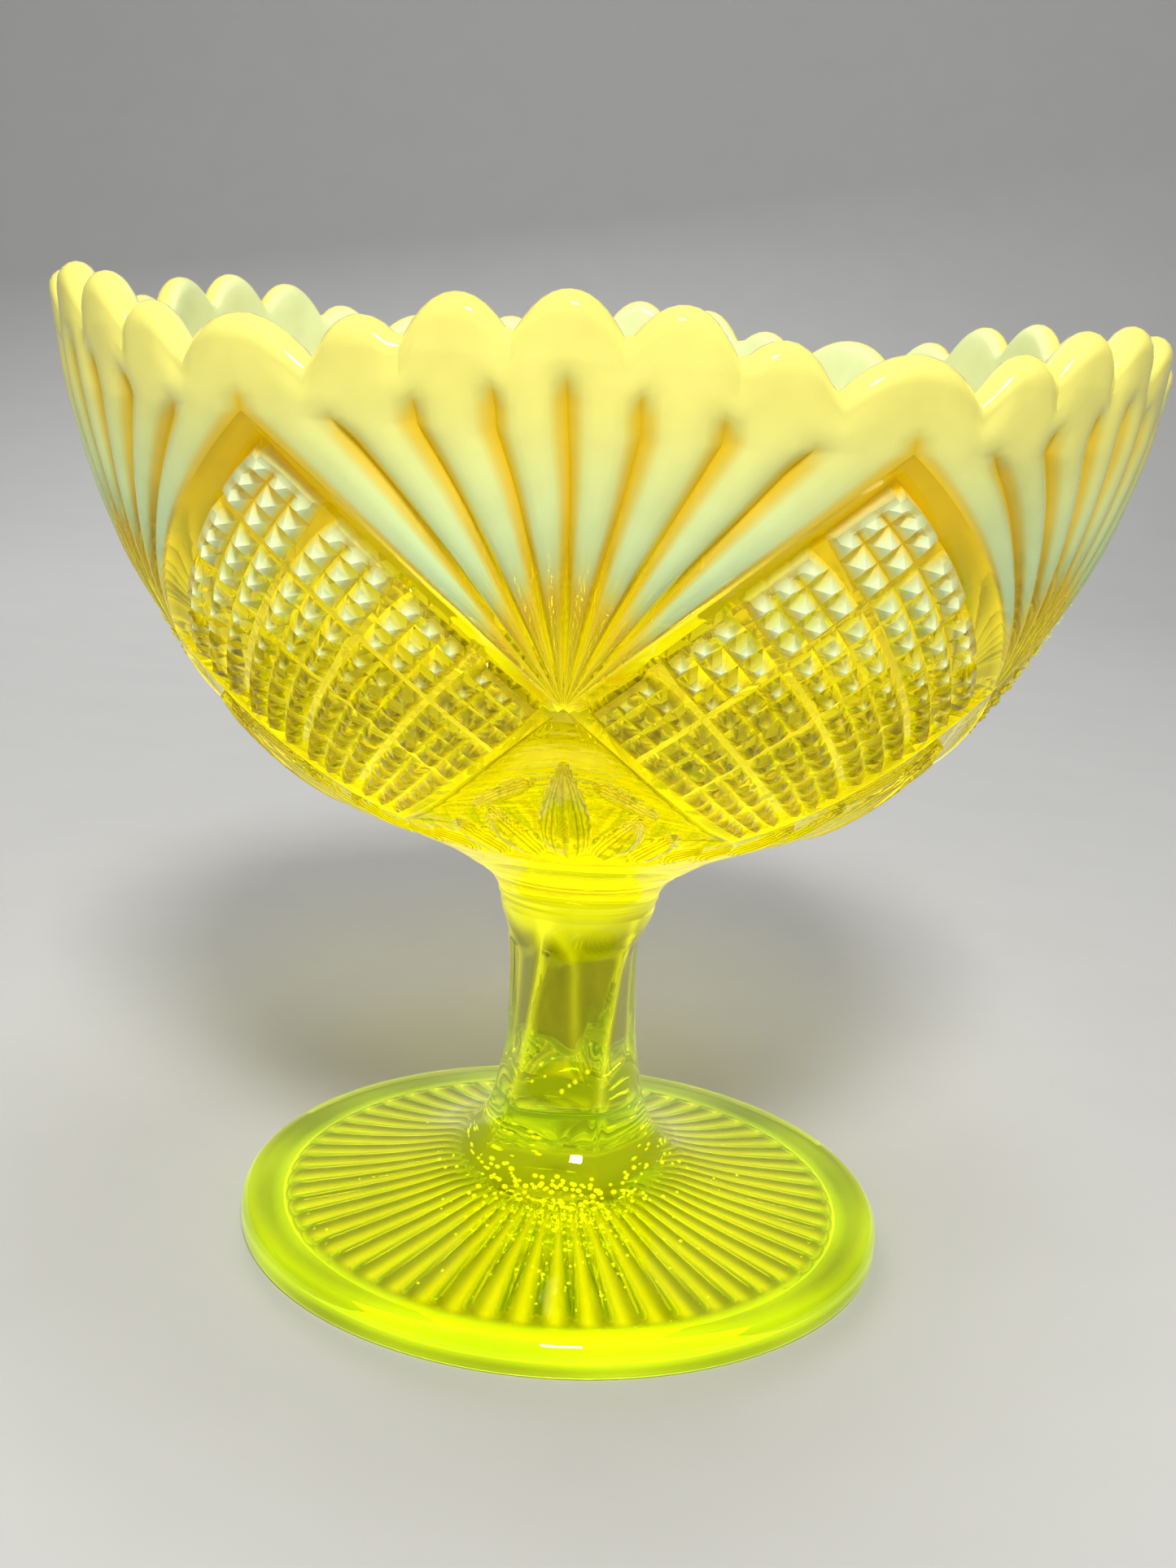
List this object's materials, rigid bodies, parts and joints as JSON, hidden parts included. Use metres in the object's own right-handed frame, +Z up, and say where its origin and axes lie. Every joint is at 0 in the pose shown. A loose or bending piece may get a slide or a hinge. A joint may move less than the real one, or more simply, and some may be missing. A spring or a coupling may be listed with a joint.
{
  "type": "footed glass comport",
  "caption": "Footed pressed-glass comport in yellow uranium glass with a scalloped opalescent rim, a twisted faceted stem and a round ribbed foot, for holding sweets, fruit or small things.",
  "frame": {"origin": "centre of the foot's resting face, on the surface that the dish stands on", "axes": "+Z up along the dish's axis; -Y towards the viewer, through the centre of one fan of the bowl"},
  "size_m": [0.1476, 0.1488, 0.136],
  "materials": {
    "opalescent_glass": "fire-polished pressed glass, creamy and opaque at the heat-struck rim, clearing to transparent yellow at the bottom",
    "uranium_glass": "clear fluorescent yellow glass, fire-polished",
    "foot_glass": "clear yellow-green glass, smooth on top and ribbed underneath"
  },
  "bodies": {
    "root": {"bowl": "opalescent_glass", "joining_wafer": "uranium_glass", "stem": "uranium_glass", "foot": "foot_glass"}
  },
  "joints": []
}
